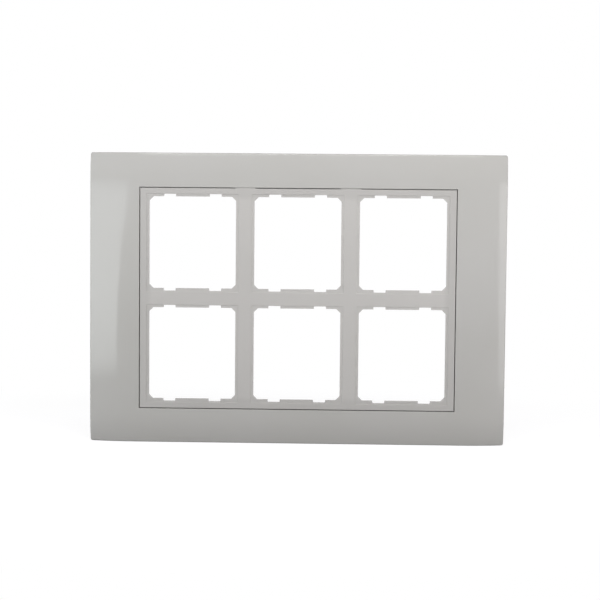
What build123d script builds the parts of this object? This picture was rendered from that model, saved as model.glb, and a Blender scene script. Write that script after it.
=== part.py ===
"""Modular switch plate: a crowned cover frame snapped over a grid of six module windows.

The wall is the plane Y = 0, the front looks along -Y and Z is up. Lengths are millimetres, and a level
is a distance from the wall towards the front.
"""

import os
from math import atan2, degrees

from build123d import *

# Modules that the windows take
module_width = 24.0
module_height = 51.1
module_clearance = 0.3
modules_per_window = 2
columns = 3
rows = 2

# Lip that the modules rest on, with a notch for the clip at each end of every module
side_lip = 1.35
end_lip = 1.6
lip_thickness = 1.8
lip_chamfer = 2.1
recess_depth = 0.2
lip_shift = 0.3
notch_width = 6.4
notch_depth = 1.35
notch_round = 0.4

# Grid frame
bar_width = 7.0
side_border = 3.5
end_border = 3.1
face_thickness = 2.0
grid_wall = 1.6
bar_wall = 1.5
bar_foot = 1.2
bar_rib = 1.2
bar_ribs_per_window = 3
face_edge_round = 0.15

# Flange under the cover, with the slots for the box screws
flange_thickness = 2.2
flange_clearance = 5.8
flange_corner = 4.0
slot_width = 4.2
slot_length = 9.0
slot_boss_wall = 2.2
slot_boss_height = 1.0
slot_boss_clearance = 0.85

# Cover plate
plate_depth = 10.5
side_margin = 26.65
band_margin = 18.35
rim_flat = 3.5
side_drop = 3.2
band_drop = 2.0
corner_radius = 1.3
inner_corner_radius = 0.8
cover_wall = 2.2
wall_draft = 1.5
cover_edge_round = 0.9
opening_edge_round = 0.2
rim_wall = 1.6
cover_rib = 1.2
side_ribs = 4
side_rib_pitch = 30.0
pry_notch_width = 8.0
pry_notch_height = 1.6

# Fit of the cover over the grid
cover_gap = 0.4
face_step = 0.3
seat_clearance = 0.1
nib_width = 10.5
nib_depth = 3.0
nib_clearance = 0.05
hook_width = 7.0
hook_engagement = 0.9
hook_height = 1.8
hook_lead = 0.9
hook_clearance = 0.2
finger_slit = 1.0
finger_root = 1.5

# Windows and the face of the grid
recess_width = modules_per_window * module_width + module_clearance
recess_height = module_height + module_clearance
clear_width = recess_width - 2 * side_lip
clear_height = recess_height - 2 * end_lip
pitch_x = recess_width + bar_width
pitch_z = recess_height + bar_width
face_width = columns * pitch_x - bar_width + 2 * side_border
face_height = rows * pitch_z - bar_width + 2 * end_border
face_level = plate_depth - face_step
lip_front = face_level - recess_depth
lip_back = lip_front - lip_thickness
channel_width = bar_width - 2 * bar_wall
inner_width = face_width - 2 * grid_wall
inner_height = face_height - 2 * grid_wall

# Opening and outline of the cover
opening_width = face_width + 2 * cover_gap
opening_height = face_height + 2 * cover_gap
plate_width = opening_width + 2 * side_margin
plate_height = opening_height + 2 * band_margin
flat_width = opening_width + 2 * rim_flat
flat_height = opening_height + 2 * rim_flat
side_crown = side_margin - rim_flat
band_crown = band_margin - rim_flat
side_radius = (side_crown**2 + side_drop**2) / (2 * side_drop)
band_radius = (band_crown**2 + band_drop**2) / (2 * band_drop)
rim_foot = flange_thickness + seat_clearance
hook_front = rim_foot + hook_height
finger_length = plate_depth - cover_wall - finger_root - rim_foot

# Flange inside the cover, with its screws clear of the rim
flange_width = plate_width - 2 * (cover_wall + flange_clearance)
flange_height = plate_height - 2 * (cover_wall + flange_clearance)
screw_spacing = opening_width + 2 * (rim_wall + slot_boss_clearance + slot_boss_wall) + slot_length

# Places of the snap hooks on the edge of the cover's opening, turned so that local +Z leaves it
hook_places = [
    Location((-pitch_x, 0, opening_height / 2)),
    Location((pitch_x, 0, opening_height / 2)),
    Location((opening_width / 2, 0, 0), (0, 90, 0)),
    Location((pitch_x, 0, -opening_height / 2), (0, 180, 0)),
    Location((-pitch_x, 0, -opening_height / 2), (0, 180, 0)),
    Location((-opening_width / 2, 0, 0), (0, 270, 0)),
]


def crowned_block(width, height, depth, side_arc, band_arc, corner):
    """A block with a front that is flat in the middle and falls away in arcs to all four edges."""
    sweep = degrees(atan2(side_crown, side_arc - depth)) + 5
    with BuildPart() as block:
        with BuildSketch(Plane.YZ):
            with BuildLine():
                flat = Line((-depth, 0), (-depth, flat_height / 2))
                roll = JernArc(flat @ 1, (0, 1), band_arc, -sweep)
                Polyline(roll @ 1, (0, (roll @ 1).Y), (0, 0), flat @ 0)
            make_face()
            mirror(about=Plane.XZ)
        extrude(amount=flat_width / 2)
        end = block.faces().sort_by(Axis.X)[-1]
        turn = Axis((flat_width / 2, side_arc - depth, 0), (0, 0, 1))
        revolve(end, axis=turn, revolution_arc=sweep)
        mirror(about=Plane.YZ)
        with BuildSketch(Plane.XZ):
            RectangleRounded(width, height, corner)
        extrude(amount=depth, taper=wall_draft, mode=Mode.INTERSECT)
    return block.part


# Grid frame: flange, raised platform, six windows with lips, and a back cored out to walls and ribs
with BuildPart() as grid_frame:
    with BuildSketch(Plane.XZ):
        RectangleRounded(flange_width, flange_height, flange_corner)
    extrude(amount=flange_thickness)
    with BuildSketch(Plane.XZ):
        with GridLocations(screw_spacing, pitch_z, 2, rows):
            SlotOverall(slot_length + 2 * slot_boss_wall, slot_width + 2 * slot_boss_wall)
    extrude(amount=flange_thickness + slot_boss_height)
    with BuildSketch(Plane.XZ):
        Rectangle(face_width, face_height)
    extrude(amount=face_level)

    # Space behind the lips, with the bars left standing a little short of the wall
    with BuildSketch(Plane.XZ):
        Rectangle(inner_width, inner_height)
    extrude(amount=bar_foot, mode=Mode.SUBTRACT)
    with BuildSketch(Plane.XZ.offset(bar_foot)):
        Rectangle(inner_width, inner_height)
        with GridLocations(pitch_x, 1, columns - 1, 1):
            Rectangle(bar_width, inner_height, mode=Mode.SUBTRACT)
        with GridLocations(1, pitch_z, 1, rows - 1):
            Rectangle(inner_width, bar_width, mode=Mode.SUBTRACT)
    extrude(amount=lip_back - bar_foot, mode=Mode.SUBTRACT)

    # Channels that core the bars from behind, with cross ribs left standing
    with BuildSketch(Plane.XZ):
        with GridLocations(pitch_x, 1, columns - 1, 1):
            Rectangle(channel_width, inner_height)
        with GridLocations(1, pitch_z, 1, rows - 1):
            Rectangle(inner_width, channel_width)
        with GridLocations(pitch_x, pitch_z, columns - 1, rows):
            with GridLocations(1, recess_height / bar_ribs_per_window, 1, bar_ribs_per_window):
                Rectangle(channel_width, bar_rib, mode=Mode.SUBTRACT)
        with GridLocations(pitch_x, pitch_z, columns, rows - 1):
            with GridLocations(recess_width / bar_ribs_per_window, 1, bar_ribs_per_window, 1):
                Rectangle(bar_rib, channel_width, mode=Mode.SUBTRACT)
    extrude(amount=face_level - face_thickness, mode=Mode.SUBTRACT)

    # Recess for each pair of modules, then the clear opening inside its lip, which is deeper at the foot
    with BuildSketch(Plane.XZ.offset(lip_front)):
        with GridLocations(pitch_x, pitch_z, columns, rows):
            Rectangle(recess_width, recess_height)
    extrude(amount=recess_depth, mode=Mode.SUBTRACT)
    with BuildSketch(Plane.XZ.offset(lip_back)) as clear_openings:
        with Locations((0, lip_shift)):
            with GridLocations(pitch_x, pitch_z, columns, rows):
                Rectangle(clear_width, clear_height)
        chamfer(clear_openings.vertices(), lip_chamfer)
        with Locations((0, lip_shift)):
            with GridLocations(pitch_x, pitch_z, columns, rows):
                with GridLocations(module_width, clear_height, modules_per_window, 2):
                    RectangleRounded(notch_width, 2 * notch_depth, notch_round)
    extrude(amount=lip_thickness, mode=Mode.SUBTRACT)
    fillet(grid_frame.faces().sort_by(Axis.Y)[0].edges(), face_edge_round)

    # Slots for the box screws and for the cover's hooks
    with BuildSketch(Plane.XZ):
        with GridLocations(screw_spacing, pitch_z, 2, rows):
            SlotOverall(slot_length, slot_width)
    extrude(amount=flange_thickness + slot_boss_height, mode=Mode.SUBTRACT)
    with Locations(*hook_places):
        with Locations((0, -flange_thickness, -cover_gap)):
            Box(
                hook_width + 2 * hook_clearance,
                hook_front + hook_clearance - flange_thickness,
                grid_wall,
                align=(Align.CENTER, Align.MAX, Align.MAX),
                mode=Mode.SUBTRACT,
            )

    # Nibs on the top edge that the cover hangs on
    with GridLocations(pitch_x, 1, columns - 1, 1):
        with Locations((0, -face_level, face_height / 2 - grid_wall)):
            Box(
                nib_width,
                nib_depth,
                grid_wall + cover_gap - nib_clearance,
                align=(Align.CENTER, Align.MIN, Align.MIN),
            )

# Hollow of the cover: the crown again one wall further in, less the rim round the opening and the ribs
with BuildPart() as cover_hollow:
    add(
        crowned_block(
            plate_width - 2 * cover_wall,
            plate_height - 2 * cover_wall,
            plate_depth - cover_wall,
            side_radius - cover_wall,
            band_radius - cover_wall,
            inner_corner_radius,
        )
    )
    with BuildSketch(Plane.XZ.offset(rim_foot)):
        Rectangle(opening_width + 2 * rim_wall, opening_height + 2 * rim_wall)
        with GridLocations(pitch_x, opening_height + band_margin, columns + 1, 2):
            Rectangle(cover_rib, band_margin)
        with GridLocations(opening_width + side_margin, side_rib_pitch, 2, side_ribs):
            Rectangle(side_margin, cover_rib)
    extrude(amount=plate_depth, mode=Mode.SUBTRACT)

# Barb of one snap hook, with a sloped lead on the side that meets the grid first
with BuildPart() as hook_barb:
    with BuildSketch(Plane.YZ):
        reach = cover_gap + hook_engagement
        with BuildLine():
            Polyline(
                (-rim_foot, rim_wall / 2),
                (-rim_foot, 0),
                (-rim_foot - hook_lead, -reach),
                (-hook_front, -reach),
                (-hook_front, rim_wall / 2),
                close=True,
            )
        make_face()
    extrude(amount=hook_width / 2, both=True)

# Cover plate: crowned shell with a rounded edge, an opening that takes the grid, and six snap fingers
with BuildPart() as cover_plate:
    add(crowned_block(plate_width, plate_height, plate_depth, side_radius, band_radius, corner_radius))
    back = cover_plate.faces().sort_by(Axis.Y)[-1]
    walls = cover_plate.faces().filter_by(lambda face: abs(face.normal_at().Y) < 0.1)
    front_edges = walls.edges() - back.edges()
    fillet(front_edges.filter_by(lambda edge: abs(edge.tangent_at(0.5).Y) < 0.9), cover_edge_round)
    add(cover_hollow.part, mode=Mode.SUBTRACT)
    with BuildSketch(Plane.XZ):
        Rectangle(opening_width, opening_height)
    extrude(amount=plate_depth, mode=Mode.SUBTRACT)
    fillet(cover_plate.faces().sort_by(Axis.Y)[0].inner_wires().edges(), opening_edge_round)

    # Slits that free the fingers, and the barbs on them
    with Locations(*hook_places):
        with GridLocations(hook_width + finger_slit, 1, 2, 1):
            with Locations((0, -rim_foot, 0)):
                Box(
                    finger_slit,
                    finger_length,
                    rim_wall,
                    align=(Align.CENTER, Align.MAX, Align.MIN),
                    mode=Mode.SUBTRACT,
                )
        add(hook_barb.part)

    # Notch for a screwdriver in the bottom edge
    with Locations((0, 0, -plate_height / 2)):
        Box(
            pry_notch_width,
            pry_notch_height,
            cover_wall,
            align=(Align.CENTER, Align.MAX, Align.MIN),
            mode=Mode.SUBTRACT,
        )

os.makedirs("parts", exist_ok=True)
grid_frame.part.label = "grid_frame"
export_step(grid_frame.part, "parts/grid_frame.step")
cover_plate.part.label = "cover_plate"
export_step(cover_plate.part, "parts/cover_plate.step")
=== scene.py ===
from math import cos, pi, radians, sin

import bmesh
import bpy
from mathutils import Matrix, Vector


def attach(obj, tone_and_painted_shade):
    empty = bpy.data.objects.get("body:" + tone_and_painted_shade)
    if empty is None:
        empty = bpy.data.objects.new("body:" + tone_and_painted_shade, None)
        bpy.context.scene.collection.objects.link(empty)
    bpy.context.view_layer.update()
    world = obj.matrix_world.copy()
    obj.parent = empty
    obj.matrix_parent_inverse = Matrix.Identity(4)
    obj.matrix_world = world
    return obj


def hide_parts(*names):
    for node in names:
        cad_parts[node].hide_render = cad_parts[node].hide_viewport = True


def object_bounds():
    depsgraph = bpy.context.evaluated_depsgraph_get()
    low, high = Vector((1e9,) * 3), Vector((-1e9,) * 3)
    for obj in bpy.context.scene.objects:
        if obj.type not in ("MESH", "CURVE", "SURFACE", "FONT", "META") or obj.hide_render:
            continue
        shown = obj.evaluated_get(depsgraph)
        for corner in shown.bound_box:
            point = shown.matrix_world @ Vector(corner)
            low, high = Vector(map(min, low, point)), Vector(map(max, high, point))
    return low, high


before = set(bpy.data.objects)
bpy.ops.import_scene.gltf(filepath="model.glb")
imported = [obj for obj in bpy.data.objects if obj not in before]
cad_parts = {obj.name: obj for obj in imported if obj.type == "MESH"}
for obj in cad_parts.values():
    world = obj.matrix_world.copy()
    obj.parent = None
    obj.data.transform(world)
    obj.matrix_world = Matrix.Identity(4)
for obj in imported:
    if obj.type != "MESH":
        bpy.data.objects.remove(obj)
cad_low, cad_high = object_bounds()


# Grid frame
# The carrier that four box screws hold to the wall box. It is one injection moulding of pale grey
# polycarbonate, with six stepped windows that modules clip into and a back cored out to walls and ribs.

mm = 0.001


def linear(hex_colour):
    """The linear colour of an sRGB hex value."""
    parts = [int(hex_colour[i:i + 2], 16) / 255 for i in (1, 3, 5)]
    return [p / 12.92 if p <= 0.04045 else ((p + 0.055) / 1.055) ** 2.4 for p in parts] + [1.0]


def add_node(tree, kind, settings=(), links=()):
    """Adds a node to a tree, with its settings by name and its inputs linked to other nodes' outputs."""
    node = tree.nodes.new(kind)
    for name, value in dict(settings).items():
        if isinstance(name, str) and hasattr(node, name):
            setattr(node, name, value)
        else:
            node.inputs[name].default_value = value
    for name, output in dict(links).items():
        tree.links.new(output, node.inputs[name])
    return node


# Polycarbonate from a spark-eroded mould: an even satin face, with a fine grain that breaks up reflections
# and a slight tone that differs at random. The border outside the windows also gets painted shade.
polycarbonate_ior = 1.58
flow_stops = (0.3, 0.7)
satin = bpy.data.materials.new("satin_moulded_polycarbonate")
satin.use_nodes = True
tree = satin.node_tree
shader = tree.nodes["Principled BSDF"]
shader.inputs["IOR"].default_value = polycarbonate_ior
place = add_node(tree, "ShaderNodeTexCoord").outputs["Object"]
flow_length = 45 * mm
flow = add_node(tree, "ShaderNodeTexNoise", {"Scale": 1 / flow_length, "Detail": 2.0}, {"Vector": place})
tone = add_node(tree, "ShaderNodeValToRGB", links={"Fac": flow.outputs["Fac"]})
for stop, position, colour in zip(tone.color_ramp.elements, flow_stops, ("#CAC7C4", "#CDCAC7")):
    stop.position = position
    stop.color = linear(colour)

# Painted shade: the border outside the windows is drawn a shade darker than the bars between them.
border_starts = {"X": cad_high.x - 33.5 * mm, "Z": cad_high.z - 25.25 * mm}
border_fade = 2.5 * mm
painted_border_shade = 0.915
from_middle = add_node(tree, "ShaderNodeVectorMath", {"operation": "ABSOLUTE"}, {0: place})
spread = add_node(tree, "ShaderNodeSeparateXYZ", links={0: from_middle.outputs[0]})
shades = []
for axis, start in border_starts.items():
    fall = add_node(
        tree,
        "ShaderNodeMapRange",
        {"From Min": start, "From Max": start + border_fade, "To Min": 1.0, "To Max": painted_border_shade},
        {"Value": spread.outputs[axis]},
    )
    shades.append(fall.outputs["Result"])
shade = add_node(tree, "ShaderNodeMath", {"operation": "MINIMUM"}, {0: shades[0], 1: shades[1]})
# The base colour is the random tone with the border's painted shade multiplied in.
tone_and_painted_shade = add_node(
    tree,
    "ShaderNodeVectorMath",
    {"operation": "SCALE"},
    {0: tone.outputs["Color"], "Scale": shade.outputs[0]},
)
tree.links.new(tone_and_painted_shade.outputs[0], shader.inputs["Base Color"])

# The real grain is about 0.15 mm wide, finer than a pixel, so it is drawn wider.
grain_width = 0.7 * mm
grain_depth = 0.02 * mm
grain = add_node(tree, "ShaderNodeTexNoise", {"Scale": 1 / grain_width, "Detail": 3.0}, {"Vector": place})
matt = add_node(
    tree, "ShaderNodeMapRange", {"To Min": 0.20, "To Max": 0.28}, {"Value": grain.outputs["Fac"]}
)
tree.links.new(matt.outputs["Result"], shader.inputs["Roughness"])
relief = add_node(
    tree, "ShaderNodeBump", {"Strength": 0.35, "Distance": grain_depth}, {"Height": grain.outputs["Fac"]}
)
tree.links.new(relief.outputs["Normal"], shader.inputs["Normal"])

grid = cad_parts["grid_frame"]
grid.data.materials.clear()
grid.data.materials.append(satin)


# Cover plate
# The frame that hangs on the grid's two nibs and snaps over it, hiding the screws. It is one moulding of the
# same polycarbonate from a polished mould, with a front that rolls away to all four edges.

# A polished mould gives a clear gloss, with the faint waviness of a wall that shrank as it cooled.
gloss = bpy.data.materials.new("polished_moulded_polycarbonate")
gloss.use_nodes = True
tree = gloss.node_tree
shader = tree.nodes["Principled BSDF"]
shader.inputs["IOR"].default_value = polycarbonate_ior
place = add_node(tree, "ShaderNodeTexCoord").outputs["Object"]
flow_length = 60 * mm
flow = add_node(tree, "ShaderNodeTexNoise", {"Scale": 1 / flow_length, "Detail": 2.0}, {"Vector": place})
tone = add_node(tree, "ShaderNodeValToRGB", links={"Fac": flow.outputs["Fac"]})
for stop, position, colour in zip(tone.color_ramp.elements, flow_stops, ("#C2C0BC", "#C5C3C0")):
    stop.position = position
    stop.color = linear(colour)
tree.links.new(tone.outputs["Color"], shader.inputs["Base Color"])
haze_width = 14 * mm
haze = add_node(tree, "ShaderNodeTexNoise", {"Scale": 1 / haze_width, "Detail": 3.0}, {"Vector": place})
polish = add_node(
    tree, "ShaderNodeMapRange", {"To Min": 0.07, "To Max": 0.11}, {"Value": haze.outputs["Fac"]}
)
tree.links.new(polish.outputs["Result"], shader.inputs["Roughness"])
wave_length = 9 * mm
wave_depth = 0.03 * mm
waves = add_node(tree, "ShaderNodeTexNoise", {"Scale": 1 / wave_length, "Detail": 0.0}, {"Vector": place})
relief = add_node(
    tree, "ShaderNodeBump", {"Strength": 0.25, "Distance": wave_depth}, {"Height": waves.outputs["Fac"]}
)
tree.links.new(relief.outputs["Normal"], shader.inputs["Normal"])

# The moulding with its faces joined and its normals worked out anew, so that the gloss runs on without a
# crease from the flat into the rolls.
join_distance = 0.001 * mm
crease_angle = radians(28)
shell = bmesh.new()
shell.from_mesh(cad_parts["cover_plate"].data)
bmesh.ops.remove_doubles(shell, verts=shell.verts, dist=join_distance)
for face in shell.faces:
    face.smooth = True
cover_mesh = bpy.data.meshes.new("cover_moulding")
shell.to_mesh(cover_mesh)
shell.free()
if "custom_normal" in cover_mesh.attributes:
    cover_mesh.attributes.remove(cover_mesh.attributes["custom_normal"])
cover_mesh.set_sharp_from_angle(angle=crease_angle)
cover_mesh.materials.append(gloss)
cover = bpy.data.objects.new("cover_moulding", cover_mesh)
bpy.context.scene.collection.objects.link(cover)
even = cover.modifiers.new("even_normals", "WEIGHTED_NORMAL")
even.keep_sharp = True
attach(cover, "root")
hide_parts("cover_plate")


# Floor
# A sheet of paper that the plate stands on. The camera sees it as white with the plate's shadow on it,
# and further out as plain white.

floor_reach = 3.0
corners = [(x * floor_reach, y * floor_reach, cad_low.z) for x, y in ((-1, -1), (1, -1), (1, 1), (-1, 1))]
floor_mesh = bpy.data.meshes.new("floor")
floor_mesh.from_pydata(corners, [], [(0, 1, 2, 3)])

# Uncoated paper in a cool grey: no gloss, and little light thrown back at the plate. A glow of its own lifts
# it to white for the camera, and in the gloss to a grey that grows paler with the distance.
paper = bpy.data.materials.new("matt_paper_sheet")
paper.use_nodes = True
tree = paper.node_tree
shader = tree.nodes["Principled BSDF"]
shader.inputs["Base Color"].default_value = linear("#A09FA1")
shader.inputs["Roughness"].default_value = 1.0
shader.inputs["Specular IOR Level"].default_value = 0.0
path = add_node(tree, "ShaderNodeLightPath")
seen = add_node(
    tree,
    "ShaderNodeMath",
    {"operation": "MAXIMUM"},
    {0: path.outputs["Is Camera Ray"], 1: path.outputs["Is Transmission Ray"]},
)
place = add_node(tree, "ShaderNodeTexCoord").outputs["Object"]
away = add_node(tree, "ShaderNodeVectorMath", {"operation": "LENGTH"}, {0: place})
paling_start = 0.2
paling_end = 1.6
paling = add_node(
    tree,
    "ShaderNodeMapRange",
    {"From Min": paling_start, "From Max": paling_end, "To Min": 0.45, "To Max": 1.0},
    {"Value": away.outputs["Value"]},
)
mirrored = add_node(
    tree,
    "ShaderNodeMath",
    {"operation": "MULTIPLY"},
    {0: path.outputs["Is Glossy Ray"], 1: paling.outputs["Result"]},
)
lift = add_node(
    tree, "ShaderNodeMath", {"operation": "MAXIMUM"}, {0: seen.outputs[0], 1: mirrored.outputs[0]}
)
glow = add_node(tree, "ShaderNodeEmission", {"Color": linear("#E7E7E7")}, {"Strength": lift.outputs[0]})
near = add_node(tree, "ShaderNodeAddShader", links={0: shader.outputs["BSDF"], 1: glow.outputs["Emission"]})
fade_start = 0.16
fade_end = 0.30
fade = add_node(
    tree,
    "ShaderNodeMapRange",
    {"interpolation_type": "SMOOTHSTEP", "From Min": fade_start, "From Max": fade_end},
    {"Value": away.outputs["Value"]},
)
clear = add_node(
    tree, "ShaderNodeMath", {"operation": "MULTIPLY"}, {0: fade.outputs["Result"], 1: seen.outputs[0]}
)
white = add_node(tree, "ShaderNodeEmission", {"Color": linear("#FFFFFF"), "Strength": 1.0})
mix = add_node(
    tree,
    "ShaderNodeMixShader",
    links={0: clear.outputs[0], 1: near.outputs["Shader"], 2: white.outputs["Emission"]},
)
tree.links.new(mix.outputs["Shader"], tree.nodes["Material Output"].inputs["Surface"])
floor_mesh.materials.append(paper)
floor = bpy.data.objects.new("floor", floor_mesh)
bpy.context.scene.collection.objects.link(floor)


# Room
# White walls all round. The camera and the gloss see them as plain white, and they give the plate only a
# weak, even light.

world = bpy.data.worlds.new("white_room")
world.use_nodes = True
bpy.context.scene.world = world
tree = world.node_tree
fill = tree.nodes["Background"]
fill.inputs["Color"].default_value = linear("#FFFFFF")
fill.inputs["Strength"].default_value = 0.150
walls = add_node(tree, "ShaderNodeBackground", {"Color": linear("#FFFFFF"), "Strength": 1.0})
path = add_node(tree, "ShaderNodeLightPath")
seen = add_node(
    tree,
    "ShaderNodeMath",
    {"operation": "MAXIMUM"},
    {0: path.outputs["Is Camera Ray"], 1: path.outputs["Is Transmission Ray"]},
)
shown = add_node(
    tree, "ShaderNodeMath", {"operation": "MAXIMUM"}, {0: seen.outputs[0], 1: path.outputs["Is Glossy Ray"]}
)
mix = add_node(
    tree,
    "ShaderNodeMixShader",
    links={0: shown.outputs[0], 1: fill.outputs["Background"], 2: walls.outputs["Background"]},
)
tree.links.new(mix.outputs["Shader"], tree.nodes["World Output"].inputs["Surface"])


# Lights
# Soft boxes above the plate, at each side and behind it, with the left one cool as daylight. The side and
# back boxes leave no image in the gloss. There the side rolls mirror a tall strip at the right and a card
# at the left, each carried on by a fold on the floor.

face_centre = Vector((0, cad_low.y, 0))
daylight = "#FAFEFF"


def soft_box(name, bearing, height, far, width, tall, radiance, tint="#FFFFFF", mirrored=True):
    """A soft box that faces the plate from a bearing off straight ahead and a height, both in degrees.

    Its power follows from how bright its face is. One that isn't mirrored leaves no image in the gloss.
    """
    lamp = bpy.data.lights.new(name, "AREA")
    lamp.shape = "RECTANGLE"
    lamp.size = width
    lamp.size_y = tall
    lamp.energy = radiance * pi * width * tall
    lamp.color = linear(tint)[:3]
    bearing = radians(bearing)
    height = radians(height)
    away = Vector((sin(bearing) * cos(height), -cos(bearing) * cos(height), sin(height)))
    holder = bpy.data.objects.new(name, lamp)
    holder.location = face_centre + far * away
    holder.rotation_mode = "QUATERNION"
    holder.rotation_quaternion = (-away).to_track_quat("-Z", "Y")
    holder.visible_glossy = mirrored
    bpy.context.scene.collection.objects.link(holder)


def light_card(name, roll_middle, bearing, far, back_end, rows, tint="#FFFFFF"):
    """A glowing card that faces the middle of a roll from a bearing off straight ahead, in degrees.

    Its rows run from its head down, and then along the floor towards the plate. Each row says how far it
    runs to the front, how high it is, how far it lies towards the plate, and how bright it is.
    """
    bearing = radians(bearing)
    middle = Vector((roll_middle + far * sin(bearing), cad_low.y - far * cos(bearing), 0))
    backwards = Vector((cos(bearing), sin(bearing), 0)) * (1 if bearing > 0 else -1)
    inwards = Vector((-sin(bearing), cos(bearing), 0))
    corners = []
    levels = []
    for front_end, up, fold, radiance in rows:
        row = middle + Vector((0, 0, up)) + fold * inwards
        corners += [row + back_end * backwards, row - front_end * backwards]
        levels += [radiance, radiance]
    mesh = bpy.data.meshes.new(name)
    mesh.from_pydata(corners, [], [(i, i + 1, i + 3, i + 2) for i in range(0, len(corners) - 2, 2)])
    mesh.attributes.new("glow", "FLOAT", "POINT").data.foreach_set("value", levels)
    # Diffusing film lit from behind: a smooth glow from row to row, which the camera doesn't see.
    film = bpy.data.materials.new("lit_diffusing_film")
    film.use_nodes = True
    tree = film.node_tree
    tree.nodes.clear()
    graded = add_node(tree, "ShaderNodeAttribute", {"attribute_name": "glow"})
    lit = add_node(tree, "ShaderNodeEmission", {"Color": linear(tint)}, {"Strength": graded.outputs["Fac"]})
    add_node(tree, "ShaderNodeOutputMaterial", links={"Surface": lit.outputs["Emission"]})
    mesh.materials.append(film)
    card = bpy.data.objects.new(name, mesh)
    card.visible_camera = False
    bpy.context.scene.collection.objects.link(card)


soft_box("top_light", bearing=6, height=47, far=0.42, width=0.34, tall=0.10, radiance=8.0)
soft_box(
    "left_light",
    bearing=-70,
    height=11,
    far=0.5,
    width=0.2,
    tall=0.16,
    radiance=6.7,
    tint=daylight,
    mirrored=False,
)
soft_box("right_light", bearing=63, height=7, far=0.5, width=0.2, tall=0.16, radiance=5.5, mirrored=False)
soft_box("right_strip", bearing=57.5, height=0.4, far=0.435, width=0.2, tall=0.153, radiance=1.5)
soft_box("back_light", bearing=170, height=11, far=0.8, width=0.8, tall=0.46, radiance=3.0, mirrored=False)

# The left card is longest at its head, which slants the side of the highlight on the left roll. The folds
# lie just clear of the floor.
roll_inset = 10 * mm
foot = cad_low.z + 0.25 * mm
light_card(
    "left_card",
    roll_middle=cad_low.x + roll_inset,
    bearing=-45,
    far=0.46,
    back_end=0.02,
    rows=[
        (0.320, 0.083, 0, 1.0),
        (0.312, 0.069, 0, 2.5),
        (0.255, 0.026, 0, 2.7),
        (0.221, -0.028, 0, 2.9),
        (0.212, foot, 0, 2.5),
        (0.192, foot, 0.05, 2.3),
        (0.165, foot, 0.12, 1.6),
        (0.135, foot, 0.22, 0.1),
    ],
    tint=daylight,
)
light_card(
    "right_card",
    roll_middle=cad_high.x - roll_inset,
    bearing=57,
    far=0.352,
    back_end=0,
    rows=[
        (0.148, foot, 0, 2.8),
        (0.126, foot, 0.05, 2.6),
        (0.104, foot, 0.10, 2.0),
        (0.085, foot, 0.14, 0.5),
    ],
)


# Camera
# It looks at the plate from a little above its middle and a little to the right, as the photograph does.
# The lens, and the step aside that frames the plate as there, are given in pixels of the image.

pitch = radians(3.10)
yaw = radians(1.32)
roll = radians(0.54)
distance = 0.7
image_pixels = 600
lens_pixels = 1332
aside_pixels = Vector((2.86, -0.35, 0))
back = Vector((sin(yaw) * cos(pitch), -cos(yaw) * cos(pitch), sin(pitch)))
camera_data = bpy.data.cameras.new("camera")
camera_data.lens = camera_data.sensor_width * lens_pixels / image_pixels
camera_data.clip_start = 10 * mm
camera = bpy.data.objects.new("camera", camera_data)
turn = (-back).to_track_quat("-Z", "Y").to_matrix() @ Matrix.Rotation(roll, 3, "Z")
aside = turn @ aside_pixels * distance / lens_pixels
camera.matrix_world = Matrix.Translation(face_centre + distance * back + aside) @ turn.to_4x4()
bpy.context.scene.collection.objects.link(camera)
bpy.context.scene.camera = camera
bpy.context.scene.view_settings.view_transform = "Standard"
